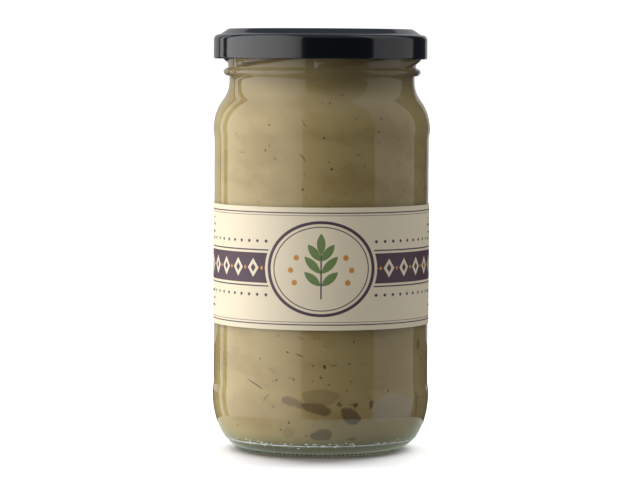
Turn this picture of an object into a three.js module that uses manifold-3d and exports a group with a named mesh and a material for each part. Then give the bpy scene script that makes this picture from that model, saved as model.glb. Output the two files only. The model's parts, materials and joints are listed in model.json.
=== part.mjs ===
// A shut glass jar of baba ganoush: the jar, its twist-off lid, its paper label and the puree inside.
// Millimetres, +Z up. The origin is the middle of the circle that the jar stands on, and the label faces -Y.
import * as THREE from "three";
import { mergeVertices } from "three/addons/utils/BufferGeometryUtils.js";
import Module from "manifold-3d";

const wasm = await Module();
wasm.setup();

const degrees = THREE.MathUtils.degToRad;

// Every round piece has its corners at the same angles, so that the gaps between the pieces stay even.
const SIDES = 60;

// The glass: a foot that it stands on, a heel, two low bulges that guard the label panel, a shoulder, a neck,
// a bead and a finish for the lid.
const GLASS = {
  footInner: 22.4,
  footOuter: 25.0,
  footRound: 0.3,
  footRise: 0.8,
  pushUp: 3.0,
  bulge: 34.0,
  bulgeTop: 17.6,
  panel: 33.65,
  panelFrom: 21.4,
  panelTo: 96.9,
  shoulderFrom: 100.2,
  shoulderShare: 0.62,
  neck: 29.0,
  neckFrom: 115.2,
  neckTo: 116.8,
  bead: 30.9,
  beadMiddle: 118.15,
  finish: 29.45,
  finishFrom: 119.5,
  rimTop: 130.7,
  rimRound: 1.3,
  wall: 2.3,
  floor: 3.6,
  floorReach: 23.0,
};

// The six sloping threads on the finish, which the lid's lugs turn under. Each starts low, climbs to the
// right, and is lower in relief over a share of its length at both ends.
const THREAD = {
  count: 6,
  lowEnd: -64,
  span: 72,
  rise: 4.95,
  lowMiddle: 120.6,
  reach: 31.3,
  root: 28.9,
  halfRoot: 0.95,
  halfCrest: 0.45,
  crestRound: 0.2,
  endReach: 0.25,
  endShare: 0.25,
  steps: 9,
};

// The lid of tinplate: a skirt with a curl at its foot, a sloping shoulder, a raised ring and a sunk panel.
const LID = {
  radius: 33.45,
  bottom: 122.2,
  top: 131.6,
  shoulder: 129.65,
  shoulderRound: 1.9,
  shoulderFrom: 75,
  ring: 30.7,
  ringRound: 1.7,
  panel: 25.6,
  panelSlope: 2.1,
  panelDrop: 1.1,
  curl: 32.3,
  curlRound: 0.5,
  curlTop: 123.2,
  sheet: 0.5,
};
const LUG = { halfSpan: 5.5, inner: 30.5, outer: 33.1, low: 122.5, high: 123.4, steps: 2 };

// The paper label, wrapped round the panel with its two ends a few millimetres apart at the back.
const LABEL = { bottom: 39.8, top: 77.2, thickness: 0.2, clearance: 0.1, backGapSides: 1 };

// The puree: the space inside the glass, short of it by a hair, up to a level that the lid hides.
const PUREE = { clearance: 0.3, level: 123.8, dome: 1.0 };

// Where the puree doesn't touch the glass, air lies between them in flat pockets near the bottom. Each is set
// by its place round the jar in degrees, its height, its width, its own height, its tilt in degrees and its
// depth.
const POCKETS = [
  { turn: 0, z: 19.7, wide: 11.3, high: 4.7, tilt: 3, deep: 1.3 },
  { turn: -15.5, z: 18.2, wide: 7.2, high: 2.8, tilt: -16, deep: 1.0 },
  { turn: -2, z: 15.4, wide: 8.7, high: 3.4, tilt: -12, deep: 1.4 },
  { turn: 17.4, z: 13.5, wide: 6.4, high: 4.4, tilt: -28, deep: 1.5 },
  { turn: 42.5, z: 15.3, wide: 17, high: 7.4, tilt: 8, deep: 1.3 },
  { turn: 0.8, z: 7.8, wide: 7.4, high: 3.1, tilt: 4, deep: 1.2 },
  { turn: -18.5, z: 8.6, wide: 4.2, high: 2.8, tilt: 0, deep: 0.9 },
];
const POCKET_SIDES = 12;
const POCKET_ROWS = 7;

const CLEAR_GLASS = { color: 0xdfe9e2, roughness: 0.03, metalness: 0, transparent: true, opacity: 0.3 };
const BLACK_PAINT = { color: 0x16171c, roughness: 0.25, metalness: 0.1 };
const CREAM_PAPER = { color: 0xdcd2bd, roughness: 0.7, metalness: 0 };
const AUBERGINE_PUREE = { color: 0xa5966a, roughness: 0.45, metalness: 0 };

// A point of a profile, by its radius and height.
function at(r, z) {
  return new THREE.Vector2(r, z);
}

// Points on an elliptical arc in the (radius, height) plane, from one angle to another, ends included.
function arc(r, z, across, up, from, to, steps) {
  return Array.from({ length: steps + 1 }, (_, i) => {
    const angle = degrees(from + ((to - from) * i) / steps);
    return at(r + across * Math.cos(angle), z + up * Math.sin(angle));
  });
}

// Points on a smooth step from one radius to another, starting and ending upright.
function ease(r0, z0, r1, z1, steps) {
  return Array.from({ length: steps + 1 }, (_, i) => {
    const t = i / steps;
    const share = (1 - Math.cos(Math.PI * t)) / 2;
    return at(r0 + (r1 - r0) * share, z0 + (z1 - z0) * t);
  });
}

// A low dome under or over the floor, from the axis out to a radius.
function dome(radius, middle, edge, steps) {
  return Array.from({ length: steps + 1 }, (_, i) => {
    const share = i / steps;
    return at(radius * share, edge + (middle - edge) * (1 - share * share));
  });
}

// The wall from the foot of the heel to the neck, drawn in by inset. The floor under it is lifted by lift.
// The shoulder is two arcs that meet on one tangent: their lean follows from its drop in radius and its
// height.
function bodyWall(inset, lift, fine) {
  const g = GLASS;
  const heelReach = g.bulge - g.footOuter;
  const heelUp = g.bulgeTop - g.footRise;
  const drop = g.bulge - g.neck;
  const height = g.neckFrom - g.shoulderFrom;
  const lean = 2 * Math.atan(drop / height);
  const leanDegrees = THREE.MathUtils.radToDeg(lean);
  const roundness = height / Math.sin(lean);
  const outward = roundness * g.shoulderShare;
  const inward = roundness - outward;
  const convex = outward - inset;
  const concave = inward + inset;
  const outside = g.bulge - inset;
  const panel = g.panel - inset;
  return [
    ...arc(g.footOuter, g.bulgeTop, heelReach - inset, heelUp - lift, -90, 0, fine ? 5 : 4),
    ...ease(outside, g.bulgeTop, panel, g.panelFrom, fine ? 2 : 1).slice(1),
    ...ease(panel, g.panelTo, outside, g.shoulderFrom, fine ? 2 : 1),
    ...arc(g.bulge - outward, g.shoulderFrom, convex, convex, 0, leanDegrees, fine ? 4 : 3).slice(1),
    ...arc(g.neck + inward, g.neckFrom, concave, concave, 180 + leanDegrees, 180, fine ? 4 : 3).slice(1),
  ];
}

// Turns a profile about Z. The profile starts and ends on the axis, or closes on itself.
function turned(profile) {
  return new THREE.LatheGeometry(profile, SIDES).rotateX(Math.PI / 2);
}

// A rib that follows the jar round. section(t) gives its outline in (radius, height) at the share t of its
// length.
function rib(from, to, steps, section) {
  const rows = Array.from({ length: steps + 1 }, (_, i) => {
    const angle = degrees(from + ((to - from) * i) / steps);
    return section(i / steps).map(([r, z]) => [r * Math.sin(angle), -r * Math.cos(angle), z]);
  });
  const width = rows[0].length;
  const index = [];
  for (let i = 0; i < steps; i++) {
    for (let j = 0; j < width; j++) {
      const a = i * width + j;
      const b = i * width + ((j + 1) % width);
      index.push(a, b, a + width, b, b + width, a + width);
    }
  }
  for (let j = 1; j < width - 1; j++) {
    index.push(0, j + 1, j);
    index.push(steps * width, steps * width + j, steps * width + j + 1);
  }
  const geometry = new THREE.BufferGeometry();
  geometry.setAttribute("position", new THREE.Float32BufferAttribute(rows.flat(2), 3));
  return geometry.setIndex(index);
}

// A closed geometry as a solid, with its shared corners merged and its faces turned outwards.
function solid(geometry) {
  const bare = new THREE.BufferGeometry().setAttribute("position", geometry.getAttribute("position"));
  bare.setIndex(geometry.index);
  const merged = mergeVertices(bare, 1e-4);
  const corners = merged.index.array;
  const kept = [];
  for (let i = 0; i < corners.length; i += 3) {
    const [a, b, c] = corners.slice(i, i + 3);
    if (a !== b && b !== c && c !== a) kept.push(a, b, c);
  }
  const build = (triVerts) => new wasm.Manifold(new wasm.Mesh({
    numProp: 3,
    vertProperties: new Float32Array(merged.attributes.position.array),
    triVerts: new Uint32Array(triVerts),
  }));
  const made = build(kept);
  return made.volume() > 0 ? made : build(kept.toReversed());
}

// A solid as a named mesh.
function piece(name, shape, material) {
  const data = shape.getMesh();
  const geometry = new THREE.BufferGeometry();
  geometry.setAttribute("position", new THREE.BufferAttribute(data.vertProperties, 3));
  geometry.setIndex(new THREE.BufferAttribute(data.triVerts, 1));
  geometry.computeVertexNormals();
  const mesh = new THREE.Mesh(geometry, new THREE.MeshStandardMaterial(material));
  mesh.name = name;
  return mesh;
}

function threads() {
  const t = THREAD;
  return Array.from({ length: t.count }, (_, i) => {
    const start = t.lowEnd + (360 / t.count) * i;
    return solid(rib(start, start + t.span, t.steps, (share) => {
      const relief = Math.min(1, t.endReach + Math.min(share, 1 - share) / t.endShare);
      const middle = t.lowMiddle + t.rise * share;
      const crest = GLASS.finish + (t.reach - GLASS.finish) * relief;
      const flank = crest - t.crestRound * relief;
      return [
        [t.root, middle - t.halfRoot],
        [flank, middle - t.halfCrest],
        [crest, middle],
        [flank, middle + t.halfCrest],
        [t.root, middle + t.halfRoot],
      ];
    }));
  });
}

function glassJar() {
  const g = GLASS;
  const mouth = g.neck - g.wall;
  const rimMiddle = (mouth + g.finish) / 2;
  const profile = [
    ...dome(g.footInner, g.pushUp, 0, 2),
    at(g.footOuter - g.footRound, 0),
    at(g.footOuter, g.footRound),
    ...bodyWall(0, 0, true),
    ...arc(g.neck, g.beadMiddle, g.bead - g.neck, g.beadMiddle - g.neckTo, -90, 90, 4).slice(0, -1),
    at(g.finish, g.finishFrom),
    ...arc(rimMiddle, g.rimTop - g.rimRound, g.finish - rimMiddle, g.rimRound, 0, 180, 4),
    ...bodyWall(g.wall, g.floor, false).toReversed(),
    ...dome(g.floorReach, g.pushUp + g.floor, g.footRise + g.floor, 2).toReversed(),
  ];
  return threads().reduce((whole, thread) => whole.add(thread), solid(turned(profile)));
}

function lid() {
  const l = LID;
  const inner = l.radius - l.sheet;
  const underPanel = l.top - l.panelDrop - l.sheet;
  const ringAxis = l.ring - l.ringRound;
  const ringMiddle = l.top - l.ringRound;
  const shoulderAxis = l.radius - l.shoulderRound;
  const skirtTop = l.shoulder - l.shoulderRound;
  const innerRing = l.ringRound - l.sheet;
  const innerShoulder = l.shoulderRound - l.sheet;
  const profile = [
    at(0, l.top - l.panelDrop),
    at(l.panel, l.top - l.panelDrop),
    at(l.panel + l.panelSlope, l.top),
    ...arc(ringAxis, ringMiddle, l.ringRound, l.ringRound, 90, 0, 3),
    ...arc(shoulderAxis, skirtTop, l.shoulderRound, l.shoulderRound, l.shoulderFrom, 0, 3),
    ...arc(l.radius - l.curlRound, l.bottom + l.curlRound, l.curlRound, l.curlRound, 0, -90, 2),
    at(l.curl + l.sheet / 2, l.bottom),
    at(l.curl, l.bottom + l.sheet / 2),
    at(l.curl, l.curlTop),
    at(inner, l.curlTop + l.sheet),
    ...arc(shoulderAxis, skirtTop, innerShoulder, innerShoulder, 0, l.shoulderFrom, 1),
    at(l.ring - l.sheet, ringMiddle - l.sheet),
    ...arc(ringAxis, ringMiddle, innerRing, innerRing, 0, 90, 2),
    at(l.panel + l.panelSlope, l.top - l.sheet),
    at(l.panel + l.sheet / 2, underPanel),
    at(0, underPanel),
  ];
  const lugs = Array.from({ length: THREAD.count }, (_, i) => {
    const turn = (360 / THREAD.count) * i;
    return solid(rib(turn - LUG.halfSpan, turn + LUG.halfSpan, LUG.steps, () => [
      [LUG.inner, LUG.low],
      [LUG.outer, LUG.low],
      [LUG.outer, LUG.high],
      [LUG.inner, LUG.high],
    ]));
  });
  return lugs.reduce((whole, lug) => whole.add(lug), solid(turned(profile)));
}

// A strip with its corners at the jar's own angles, from one side of the gap at the back round to the other.
function paperLabel() {
  const inner = GLASS.panel + LABEL.clearance;
  const outer = inner + LABEL.thickness;
  const count = SIDES - LABEL.backGapSides * 2;
  const start = 90 + (360 / SIDES) * LABEL.backGapSides;
  const outside = arc(0, 0, outer, outer, start, start + (360 / SIDES) * count, count);
  const inside = arc(0, 0, inner, inner, start + (360 / SIDES) * count, start, count);
  const outline = new THREE.Shape([...outside, ...inside]);
  const wrap = new THREE.ExtrudeGeometry(outline, { depth: LABEL.top - LABEL.bottom, bevelEnabled: false });
  return solid(wrap.translate(0, 0, LABEL.bottom));
}

// The radius of the inside of the glass at a height on the heel, where the pockets are.
function heelRadius(z) {
  const g = GLASS;
  const up = g.bulgeTop - g.footRise - g.floor;
  const share = Math.min(1, Math.max(0, (g.bulgeTop - z) / up));
  return g.footOuter + (g.bulge - g.footOuter - g.wall) * Math.sqrt(1 - share * share);
}

// A flat egg that bites a pocket out of the puree's side. It leans with the wall of the heel.
function pocket({ turn, z, wide, high, tilt, deep }) {
  const slope = Math.atan2(heelRadius(z + 1) - heelRadius(z - 1), 2);
  const egg = new THREE.SphereGeometry(0.5, POCKET_SIDES, POCKET_ROWS);
  egg.rotateX(Math.PI / 2);
  egg.scale(wide, deep * 2, high);
  egg.rotateY(degrees(-tilt));
  egg.rotateX(-slope);
  egg.translate(0, PUREE.clearance - heelRadius(z), z);
  egg.rotateZ(degrees(turn));
  return solid(egg);
}

function babaGanoush() {
  const g = GLASS;
  const lift = g.floor + PUREE.clearance;
  const wall = bodyWall(g.wall + PUREE.clearance, lift, false);
  const profile = [
    ...dome(g.floorReach, g.pushUp + lift, g.footRise + lift, 2),
    ...wall,
    ...dome(wall.at(-1).x, PUREE.level + PUREE.dome, PUREE.level, 3).toReversed(),
  ];
  return POCKETS.map(pocket).reduce((whole, bite) => whole.subtract(bite), solid(turned(profile)));
}

const jar = new THREE.Group();
jar.add(
  piece("glass_jar", glassJar(), CLEAR_GLASS),
  piece("lid", lid(), BLACK_PAINT),
  piece("paper_label", paperLabel(), CREAM_PAPER),
  piece("baba_ganoush", babaGanoush(), AUBERGINE_PUREE),
);

export default jar;
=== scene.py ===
"""The looks of a shut glass jar of baba ganoush: clear glass, a black twist-off lid, a printed paper label,
the aubergine puree with what is mixed into it, and a pale studio round them."""

import json
import math

import bpy
import numpy as np
from bpy.props import FloatProperty, FloatVectorProperty, IntProperty, PointerProperty
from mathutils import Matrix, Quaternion, Vector

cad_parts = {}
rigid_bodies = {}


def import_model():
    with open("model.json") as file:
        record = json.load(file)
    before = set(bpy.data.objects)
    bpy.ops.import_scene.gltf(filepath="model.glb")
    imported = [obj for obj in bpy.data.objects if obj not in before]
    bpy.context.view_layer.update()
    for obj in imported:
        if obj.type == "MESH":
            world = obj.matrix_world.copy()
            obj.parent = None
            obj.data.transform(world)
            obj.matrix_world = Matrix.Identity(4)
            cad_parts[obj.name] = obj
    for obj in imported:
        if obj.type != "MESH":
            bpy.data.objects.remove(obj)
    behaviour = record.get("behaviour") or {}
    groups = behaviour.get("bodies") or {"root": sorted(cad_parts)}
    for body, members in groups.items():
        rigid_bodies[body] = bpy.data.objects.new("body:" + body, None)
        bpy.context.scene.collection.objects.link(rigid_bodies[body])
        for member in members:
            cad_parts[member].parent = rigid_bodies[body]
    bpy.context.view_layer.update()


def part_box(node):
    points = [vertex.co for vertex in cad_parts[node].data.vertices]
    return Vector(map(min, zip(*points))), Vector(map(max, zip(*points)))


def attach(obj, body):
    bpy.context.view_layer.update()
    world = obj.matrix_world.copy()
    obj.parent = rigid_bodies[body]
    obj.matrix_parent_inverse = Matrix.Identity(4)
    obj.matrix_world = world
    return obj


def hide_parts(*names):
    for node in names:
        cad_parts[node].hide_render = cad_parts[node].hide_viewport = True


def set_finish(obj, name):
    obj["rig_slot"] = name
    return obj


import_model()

bl_info = {
    "name": "Jar of baba ganoush",
    "version": (1, 0, 0),
    "blender": (4, 5, 0),
    "location": "View3D > Sidebar > Jar",
    "description": "Builds a filled glass jar with its lid and label, and a studio round it",
    "category": "Object",
}

MM = 0.001
BODY = "root"

# The sizes that the construction gives.
GLASS_LOW, GLASS_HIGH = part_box("glass_jar")
LID_LOW, LID_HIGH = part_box("lid")
LABEL_LOW, LABEL_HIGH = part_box("paper_label")
_, PUREE_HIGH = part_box("baba_ganoush")
BULGE = (GLASS_HIGH.x - GLASS_LOW.x) / 2
RIM_TOP = GLASS_HIGH.z

# The glass, as radii and heights from the foot up.
FOOT_INNER = 22.4 * MM
FOOT_OUTER = 25.0 * MM
FOOT_ROUND = 0.3 * MM
FOOT_RISE = 0.8 * MM
PUSH_UP = 3.0 * MM
BULGE_TOP = 17.6 * MM
PANEL = BULGE - 0.35 * MM
PANEL_FROM = 21.4 * MM
PANEL_TO = 96.9 * MM
SHOULDER_FROM = 100.2 * MM
SHOULDER_SHARE = 0.62
NECK = 29.0 * MM
NECK_FROM = 115.2 * MM
NECK_TO = 116.8 * MM
BEAD = 30.9 * MM
BEAD_MIDDLE = 118.15 * MM
FINISH = 29.45 * MM
FINISH_FROM = 119.5 * MM
RIM_ROUND = 1.3 * MM
FLOOR = 3.6 * MM
FLOOR_REACH = 23.0 * MM
PARTING_HEIGHT = 3.85 * MM
PARTING_RIDGE = 0.1 * MM
PARTING_WIDTH = 0.22 * MM
KNURL_EDGE = 0.6 * MM
KNURL_LIFT = 0.6

# The threads under the lid.
THREADS = 6
THREAD_LOW_END = -64.0
THREAD_SPAN = 72.0
THREAD_RISE = 4.95 * MM
THREAD_LOW_MIDDLE = 120.6 * MM
THREAD_REACH = 31.3 * MM
THREAD_HALF = 1.7 * MM
THREAD_END_REACH = 0.25
THREAD_END_SHARE = 0.25

# The lid: its curl, skirt, shoulder, cone, valley, sunk panel and lugs. The leans are in degrees.
CURL = 0.55 * MM
CURL_TOP = 1.2 * MM
SKIRT_DROP = 3.4 * MM
SHOULDER_LEAN = 75
CONE_LEAN = 57
VALLEY_OUT = 1.9 * MM
VALLEY_DROP = 1.72 * MM
PANEL_EASE = 1.0 * MM
PANEL_SLOPE = 1.9 * MM
PANEL_STEP = 0.2 * MM
SKIRT_STEP = 0.4 * MM
LUG_REACH = 1.7 * MM
LUG_DENT = 0.03 * MM
LUG_FULL = 1.0 * MM
LUG_TOP = 1.9 * MM

# How far the paper lies inside the construction's, and how far it lifts in slow waves.
PAPER_INSET = 0.05 * MM
PAPER_LIFT = 0.03 * MM

# The puree's heap: how far it falls to its edge, and how high and how deep its waves are. Pockets show from
# a height up, on a wall of a radius.
HEAP_DROP = 1.2 * MM
HEAP_LIP = 0.2 * MM
HEAP_WAVE = 0.25 * MM
HEAP_WAVE_DEPTH = 1.1 * MM
POCKETS_FROM = 5.0 * MM
POCKETS_FULL = 6.0 * MM
POCKET_RADIUS = BULGE - 2.5 * MM

# How many columns each turned piece has.
GLASS_COLUMNS = 432
LID_COLUMNS = 300
LABEL_COLUMNS = 420
PUREE_COLUMNS = 480

# Flat pockets of air against the glass, painted on the puree, each by its turn round the jar in degrees, its
# height, its width and own height in millimetres, its tilt in degrees, how uneven its outline is, and its
# look:
# 1 is dark with painted shade, and -1 is pale with a painted reflection, where it catches light.
POCKETS = (
    (0.0, 19.2, 11.3, 5.0, -4, 0.06, 0.4),
    (-15.3, 17.6, 7.0, 2.7, -16, 0.08, 0.6),
    (-2.0, 15.8, 8.8, 3.6, -12, 0.08, 0.8),
    (16.8, 13.4, 6.9, 4.4, -26, 0.08, 0.85),
    (43.5, 15.3, 18.2, 7.4, 6, 0.12, -0.9),
    (0.8, 7.8, 7.8, 3.1, 4, 0.10, 0.75),
    (-18.5, 8.3, 4.3, 2.9, 0, 0.06, 0.25),
    (19.2, 16.8, 1.4, 1.6, 20, 0.05, 0.9),
    (19.0, 6.5, 3.0, 1.0, 0, 0.10, 0.6),
    (10.4, 17.0, 1.7, 1.5, 0, 0.05, 0.8),
    (28.6, 16.6, 1.8, 2.6, -10, 0.08, 0.8),
    (67.0, 34.0, 2.2, 3.6, -6, 0.10, 0.6),
    (64.0, 16.0, 1.6, 7.0, 8, 0.12, 0.4),
)

# How many more pockets the sides and the back have, and how many degrees from the front they begin.
HIDDEN_POCKETS = 16
FRONT_SPAN = 87.0

# Specks and fibres that show at the front, each by its turn in degrees and its height in millimetres.
FRONT_SPECKS = np.array((
    (0.0, 108.5), (4.6, 108.2), (1.2, 98.4), (34.5, 103.8), (5.4, 88.8), (-64.0, 93.6), (-29.5, 102.0),
    (-29.5, 95.8), (-10.3, 82.6), (2.0, 28.5), (-4.0, 28.8), (0.2, 25.2), (4.4, 23.1), (14.4, 21.2),
    (-24.7, 24.2), (-14.9, 24.5), (-17.6, 11.4), (18.2, 36.0), (-8.0, 7.5), (-23.0, 9.2),
))
LARGE_SPECK = 9
FRONT_FIBRES = np.array(((-38.6, 22.5), (-11.6, 31.9), (-63.0, 27.6), (26.0, 52.0)))

# The heel's small marks of the mould: how many, and how far above the ring and how scattered they sit. The
# foot's ribs sit at a height of their own.
MOULD_MARKS = 260
MARK_SEED = 5
MARK_LIFT = 0.25 * MM
MARK_SCATTER = 0.4 * MM
RIB_HEIGHT = 0.55 * MM

# The print's measures on the flat paper, in millimetres.
BAND_HALF = 4.6
LOZENGE_PITCH = 6.4
FIELD_HALF = (17.0, 14.6)
BERRY = 0.85
LINE_PITCH = 2.3
WORD_PITCH = 3.4

# The left and the right softbox: how far back they hang, how wide they are, and their spread in degrees.
KEY_BOX = (-0.557, 1.636, 152)
FILL_BOX = (-0.046, 0.558, 180)


def smooth(x, low, high):
    """The smooth step: 0 below low, 1 above high, and t t (3 - 2 t) between them."""
    t = np.clip((x - low) / (high - low), 0, 1)
    return t * t * (3 - 2 * t)


def arc(r, z, across, up, start, end, steps):
    """Points (radius, height) on an ellipse: r + across cos(angle) and z + up sin(angle)."""
    angle = np.radians(np.linspace(start, end, steps + 1))
    return np.column_stack((r + across * np.cos(angle), z + up * np.sin(angle)))


def ease(r0, z0, r1, z1, steps):
    """Points that rise evenly while the radius moves over as half a cosine wave."""
    t = np.linspace(0, 1, steps + 1)
    return np.column_stack((r0 + (r1 - r0) * (1 - np.cos(np.pi * t)) / 2, z0 + (z1 - z0) * t))


def line(r0, z0, r1, z1, steps):
    """Points evenly spaced on a straight line."""
    t = np.linspace(0, 1, steps + 1)[:, None]
    return np.array((r0, z0)) * (1 - t) + np.array((r1, z1)) * t


def dome(radius, middle, edge, steps):
    """Points from the axis out to a radius, at edge + (middle - edge)(1 - share squared)."""
    share = np.linspace(0, 1, steps + 1)
    return np.column_stack((radius * share, edge + (middle - edge) * (1 - share**2)))


def chain(*parts):
    """One outline from several, without the points that repeat where they join."""
    points = np.concatenate(parts)
    far = np.linalg.norm(np.diff(points, axis=0), axis=1) > 1e-7
    return points[np.concatenate(([True], far))]


def body_wall(inset, lift, heel, edge, shoulder):
    """The wall from the foot of the heel to the neck, drawn in by inset, its floor lifted by lift. The heel
    is a quarter ellipse, and the shoulder two arcs on one tangent, whose lean is twice the arctangent of
    drop / height."""
    drop = BULGE - NECK
    height = NECK_FROM - SHOULDER_FROM
    lean = 2 * math.atan(drop / height)
    roundness = height / math.sin(lean)
    outward = roundness * SHOULDER_SHARE
    inward = roundness - outward
    turn = math.degrees(lean)
    outside = BULGE - inset
    panel = PANEL - inset
    heel_arcs = [
        arc(FOOT_OUTER, BULGE_TOP, outside - FOOT_OUTER, BULGE_TOP - FOOT_RISE - lift, low, high, steps)
        for low, high, steps in ((-90, -62, heel // 3), (-62, -50, heel // 2), (-50, 0, heel // 2))
    ]
    return chain(
        *heel_arcs,
        ease(outside, BULGE_TOP, panel, PANEL_FROM, edge),
        ease(panel, PANEL_TO, outside, SHOULDER_FROM, edge),
        arc(BULGE - outward, SHOULDER_FROM, outward - inset, outward - inset, 0, turn, shoulder),
        arc(NECK + inward, NECK_FROM, inward + inset, inward + inset, 180 + turn, 180, shoulder),
    )


def turns(columns):
    """The angles of the columns round the jar. 0 faces -Y, and they grow towards +X."""
    return np.arange(columns) * (2 * np.pi / columns)


def round_points(radius, height, turn):
    """Points of a turned surface: (radius sin(turn), -radius cos(turn), height)."""
    return np.stack((radius * np.sin(turn), -radius * np.cos(turn), height + 0 * turn), axis=-1)


def mesh_piece(name, points, faces, smooth_angle=None):
    """A mesh object from points and rows of corner numbers, shaded smooth, its faces turned outwards."""
    fans = [np.column_stack((f[:, 0], f[:, i], f[:, i + 1])) for f in faces for i in range(1, f.shape[1] - 1)]
    a, b, c = (points[corner] for corner in np.concatenate(fans).T)
    if np.einsum("ij,ij->i", a, np.cross(b, c)).sum() < 0:
        faces = [f[:, ::-1] for f in faces]
    mesh = bpy.data.meshes.new(name)
    mesh.from_pydata(points.tolist(), [], [row for f in faces for row in f.tolist()])
    mesh.shade_smooth()
    if smooth_angle is not None:
        mesh.set_sharp_from_angle(angle=math.radians(smooth_angle))
    mesh.validate()
    piece = bpy.data.objects.new(name, mesh)
    bpy.context.scene.collection.objects.link(piece)
    return piece


def wrapped_quads(rows, columns, closed_rows):
    """The corners of each cell of a grid whose columns run round, and its rows too if closed_rows."""
    i = np.arange(rows if closed_rows else rows - 1)[:, None]
    j = np.arange(columns)[None, :]
    below = (i + 1) % rows
    right = (j + 1) % columns
    cells = (i * columns + j, i * columns + right, below * columns + right, below * columns + j)
    return np.stack(np.broadcast_arrays(*cells), axis=-1).reshape(-1, 4)


def capped_faces(rows, columns):
    """The faces of a grid that runs round, with a fan at each end to the two points that follow it."""
    j = np.arange(columns)
    right = (j + 1) % columns
    count = rows * columns
    base = count - columns
    first = np.column_stack((np.full(columns, count), right, j))
    last = np.column_stack((np.full(columns, count + 1), base + j, base + right))
    return [wrapped_quads(rows, columns, False), first, last]


def capped_turning(name, grid):
    """A turned piece whose first and last rows are single points on the axis."""
    points = np.concatenate((grid[1:-1].reshape(-1, 3), grid[0, :1], grid[-1, :1]))
    return mesh_piece(name, points, capped_faces(grid.shape[0] - 2, grid.shape[1]))


def many(name, points, faces):
    """One piece of many small things that have the same faces: one row of points for each."""
    step = np.arange(len(points))[:, None, None] * (points[0].size // 3)
    return mesh_piece(name, points.reshape(-1, 3), [(f[None] + step).reshape(-1, f.shape[1]) for f in faces])


def stretched_balls(rings, sides, *sizes):
    """Balls of a few faces, each stretched to its own length, width and thickness: their points along,
    across and out, one row for each ball, and the faces of one."""
    phi = np.radians(np.linspace(0, 180, rings + 2))[1:-1]
    theta = turns(sides)
    round_ball = np.stack((
        np.outer(np.sin(phi), np.cos(theta)),
        np.outer(np.sin(phi), np.sin(theta)),
        np.outer(np.cos(phi), np.ones(sides)),
    )).reshape(3, -1)
    unit = np.column_stack((round_ball, (0, 0, 1), (0, 0, -1)))
    return [axis * size[:, None] / 2 for axis, size in zip(unit, sizes)], unit, capped_faces(rings, sides)


def dress(piece, material, slot, *nodes):
    """Gives a finished piece its material, its slot and its body, and hides the nodes that it stands for."""
    piece.data.materials.append(material)
    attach(piece, BODY)
    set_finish(piece, slot)
    if nodes:
        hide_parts(*nodes)
    return piece


class Field:
    """A number that changes over a surface. It wraps a socket, and arithmetic on it adds Math nodes."""

    def __init__(self, shade, socket):
        self.shade = shade
        self.socket = socket

    def math(self, operation, *others):
        return self.shade.math(operation, self, *others)

    def __add__(self, other):
        return self.math("ADD", other)

    def __sub__(self, other):
        return self.math("SUBTRACT", other)

    def __mul__(self, other):
        return self.math("MULTIPLY", other)

    def __truediv__(self, other):
        return self.math("DIVIDE", other)

    def __rsub__(self, other):
        return self.shade.math("SUBTRACT", other, self)

    __radd__ = __add__
    __rmul__ = __mul__

    def __abs__(self):
        return self.math("ABSOLUTE")

    def root(self):
        return self.math("SQRT")

    def least(self, other):
        return self.math("MINIMUM", other)

    def most(self, other):
        return self.math("MAXIMUM", other)

    def above(self, low, high):
        """0 below low, 1 above high, smooth between them."""
        limits = {"From Min": low, "From Max": high}
        return self.shade.node(
            "ShaderNodeMapRange", {"interpolation_type": "SMOOTHSTEP"}, {"Value": self, **limits}
        )

    def below(self, high, low):
        """1 below low, 0 above high, smooth between them."""
        return 1 - self.above(low, high)


class Shade:
    """The nodes of a material or a world. Most methods add nodes and return what they put out."""

    OUTPUTS = {"materials": "ShaderNodeOutputMaterial", "worlds": "ShaderNodeOutputWorld"}

    def __init__(self, name, kind="materials"):
        self.kind = kind
        self.block = getattr(bpy.data, kind).new(name)
        self.block.use_nodes = True
        self.tree = self.block.node_tree
        self.tree.nodes.clear()

    def node(self, kind, settings, values, output=0):
        """Adds a node of a kind: its settings go first, then its sockets' values or links."""
        made = self.tree.nodes.new(kind)
        for name, value in settings.items():
            setattr(made, name, value)
        for name, value in values.items():
            if isinstance(value, Field):
                self.tree.links.new(value.socket, made.inputs[name])
            else:
                made.inputs[name].default_value = value
        return Field(self, made.outputs[output])

    def math(self, operation, *values):
        return self.node("ShaderNodeMath", {"operation": operation}, dict(enumerate(values)))

    def axes(self, vector):
        """The three numbers of a vector."""
        return [self.node("ShaderNodeSeparateXYZ", {}, {0: vector}, i) for i in range(3)]

    def vector(self, x, y, z):
        return self.node("ShaderNodeCombineXYZ", {}, {0: x, 1: y, 2: z})

    def place(self):
        """Where a point is on the object, in metres."""
        return self.node("ShaderNodeTexCoord", {}, {}, "Object")

    def noise(self, vector, size, detail=2.0, roughness=0.5):
        """Noise whose features are about size metres across, from 0 to 1."""
        values = {"Vector": vector, "Scale": 1 / size, "Detail": detail, "Roughness": roughness}
        return self.node("ShaderNodeTexNoise", {}, values)

    def mix(self, share, first, second):
        """A colour between two: first at share 0, second at share 1."""
        values = {0: share}
        for socket, colour in ((6, first), (7, second)):
            values[socket] = colour if isinstance(colour, Field) else (*colour, 1)
        return self.node("ShaderNodeMix", {"data_type": "RGBA"}, values, 2)

    def bump(self, height, strength, distance, under=None):
        """The normal that a height map gives. Distance is the depth of a full step, in metres."""
        values = {"Strength": strength, "Distance": distance, "Height": height}
        if under is not None:
            values["Normal"] = under
        return self.node("ShaderNodeBump", {}, values)

    def principled(self, values):
        return self.node("ShaderNodeBsdfPrincipled", {}, values)

    def finish(self, surface):
        """Puts a shader on the surface and returns the material or world."""
        output = self.tree.nodes.new(self.OUTPUTS[self.kind])
        self.tree.links.new(surface.socket, output.inputs["Surface"])
        return self.block


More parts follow.
